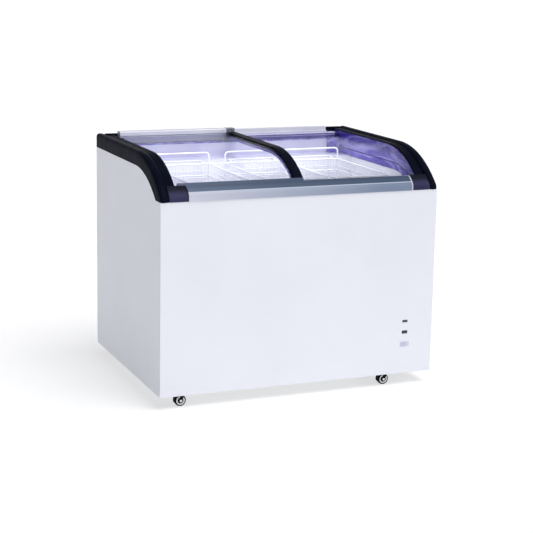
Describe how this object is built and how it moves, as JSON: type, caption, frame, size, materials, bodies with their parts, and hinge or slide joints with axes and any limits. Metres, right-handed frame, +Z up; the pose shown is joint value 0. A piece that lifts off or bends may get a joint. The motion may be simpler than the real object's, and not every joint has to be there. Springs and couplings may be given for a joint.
{
  "type": "chest freezer",
  "caption": "Chest display freezer on casters with curved glass doors that slide past each other over wire baskets.",
  "frame": {"origin": "on the floor under the middle of the cabinet", "axes": "+X along the front to the right as seen from the front, +Y to the rear, +Z up"},
  "size_m": [1.02, 0.75, 0.85],
  "materials": {
    "painted_steel": "satin",
    "zinc_steel": "satin",
    "foam": "matte",
    "white_liner": "gloss",
    "copper": "satin",
    "black_moulding": "satin",
    "violet_moulding": "gloss",
    "aluminium_rail": "satin",
    "grey_track": "matte",
    "clear_glass": "gloss",
    "silver_profile": "satin",
    "grey_cap": "satin",
    "white_glide": "matte",
    "white_wire": "gloss",
    "black_enamel": "satin",
    "rubber_parts": "matte",
    "fin_aluminium": "satin",
    "motor_steel": "matte",
    "dark_lens": "gloss",
    "dial_plastic": "satin",
    "caster_steel": "satin",
    "caster_wheel": "matte"
  },
  "bodies": {
    "cabinet": {"front_panel": "painted_steel", "left_side_panel": "painted_steel", "right_side_panel": "painted_steel", "rear_panel": "painted_steel", "base_pan": "zinc_steel", "insulation_foam": "foam", "inner_liner": "white_liner", "evaporator_tube": "copper", "left_end_frame": "black_moulding", "right_end_frame": "black_moulding", "frame_screws": "zinc_steel", "left_end_lining": "violet_moulding", "right_end_lining": "violet_moulding", "front_rail": "aluminium_rail", "front_track": "grey_track", "rear_rail": "silver_profile", "rear_track": "violet_moulding", "compressor": "black_enamel", "compressor_mounts": "rubber_parts", "terminal_box": "black_moulding", "condenser": "fin_aluminium", "fan_bracket": "zinc_steel", "fan_motor": "motor_steel", "filter_drier": "copper", "refrigerant_pipes": "copper", "rear_grille": "black_moulding", "indicator_lens": "dark_lens", "switch_housing": "black_moulding", "thermostat_body": "dial_plastic", "power_gland": "rubber_parts", "caster_plates": "caster_steel", "caster_bolts": "zinc_steel"},
    "left_door": {"left_door_glass": "clear_glass", "left_door_centre_trim": "black_moulding", "left_door_rear_profile": "silver_profile", "left_door_front_profile": "aluminium_rail", "left_door_corner_cap": "grey_cap", "left_door_glides": "white_glide"},
    "right_door": {"right_door_glass": "clear_glass", "right_door_centre_trim": "violet_moulding", "right_door_rear_profile": "violet_moulding", "right_door_front_profile": "aluminium_rail", "right_door_corner_cap": "grey_cap", "right_door_glides": "white_glide"},
    "left_basket": {"basket_left": "white_wire"},
    "centre_basket": {"basket_centre": "white_wire"},
    "right_basket": {"basket_right": "white_wire"},
    "fan": {"fan_blade": "black_moulding"},
    "switch_paddle": {"rocker_switch": "dark_lens"},
    "dial": {"thermostat_dial": "dial_plastic"},
    "floor_plug": {"drain_plug": "rubber_parts"},
    "swivel_front_left": {"caster_fork_front_left": "caster_steel"},
    "wheel_front_left": {"caster_wheel_front_left": "caster_wheel"},
    "swivel_front_right": {"caster_fork_front_right": "caster_steel"},
    "wheel_front_right": {"caster_wheel_front_right": "caster_wheel"},
    "swivel_rear_left": {"caster_fork_rear_left": "caster_steel"},
    "wheel_rear_left": {"caster_wheel_rear_left": "caster_wheel"},
    "swivel_rear_right": {"caster_fork_rear_right": "caster_steel"},
    "wheel_rear_right": {"caster_wheel_rear_right": "caster_wheel"}
  },
  "joints": [
    {"name": "left_door_slide", "type": "slide", "parent": "cabinet", "child": "left_door", "axis": [1, 0, 0], "range_m": [0, 0.42]},
    {"name": "right_door_slide", "type": "slide", "parent": "cabinet", "child": "right_door", "axis": [1, 0, 0], "range_m": [-0.42, 0]},
    {"name": "left_basket_lift", "type": "slide", "parent": "cabinet", "child": "left_basket", "axis": [0, 0, 1], "range_m": [0, 0.012]},
    {"name": "centre_basket_lift", "type": "slide", "parent": "cabinet", "child": "centre_basket", "axis": [0, 0, 1], "range_m": [0, 0.012]},
    {"name": "right_basket_lift", "type": "slide", "parent": "cabinet", "child": "right_basket", "axis": [0, 0, 1], "range_m": [0, 0.012]},
    {"name": "fan_spin", "type": "hinge", "parent": "cabinet", "child": "fan", "pos_m": [0.382, -0.124, 0.156], "axis": [0, 1, 0], "continuous": true},
    {"name": "switch_rock", "type": "hinge", "parent": "cabinet", "child": "switch_paddle", "pos_m": [0.402, -0.366, 0.194], "axis": [0, 0, 1], "range_deg": [-7, 7]},
    {"name": "dial_turn", "type": "hinge", "parent": "cabinet", "child": "dial", "pos_m": [0.402, -0.365, 0.15], "axis": [0, 1, 0], "range_deg": [0, 270]},
    {"name": "plug_pull", "type": "slide", "parent": "cabinet", "child": "floor_plug", "axis": [0, 0, 1], "range_m": [0, 0.03]},
    {"name": "front_left_swivel", "type": "hinge", "parent": "cabinet", "child": "swivel_front_left", "pos_m": [-0.446, -0.338, 0.047], "axis": [0, 0, 1], "continuous": true},
    {"name": "front_left_roll", "type": "hinge", "parent": "swivel_front_left", "child": "wheel_front_left", "pos_m": [-0.428, -0.338, 0.02], "axis": [0, 1, 0], "continuous": true},
    {"name": "front_right_swivel", "type": "hinge", "parent": "cabinet", "child": "swivel_front_right", "pos_m": [0.319, -0.338, 0.047], "axis": [0, 0, 1], "continuous": true},
    {"name": "front_right_roll", "type": "hinge", "parent": "swivel_front_right", "child": "wheel_front_right", "pos_m": [0.337, -0.338, 0.02], "axis": [0, 1, 0], "continuous": true},
    {"name": "rear_left_swivel", "type": "hinge", "parent": "cabinet", "child": "swivel_rear_left", "pos_m": [-0.446, 0.338, 0.047], "axis": [0, 0, 1], "continuous": true},
    {"name": "rear_left_roll", "type": "hinge", "parent": "swivel_rear_left", "child": "wheel_rear_left", "pos_m": [-0.428, 0.338, 0.02], "axis": [0, 1, 0], "continuous": true},
    {"name": "rear_right_swivel", "type": "hinge", "parent": "cabinet", "child": "swivel_rear_right", "pos_m": [0.319, 0.338, 0.047], "axis": [0, 0, 1], "continuous": true},
    {"name": "rear_right_roll", "type": "hinge", "parent": "swivel_rear_right", "child": "wheel_rear_right", "pos_m": [0.337, 0.338, 0.02], "axis": [0, 1, 0], "continuous": true}
  ]
}
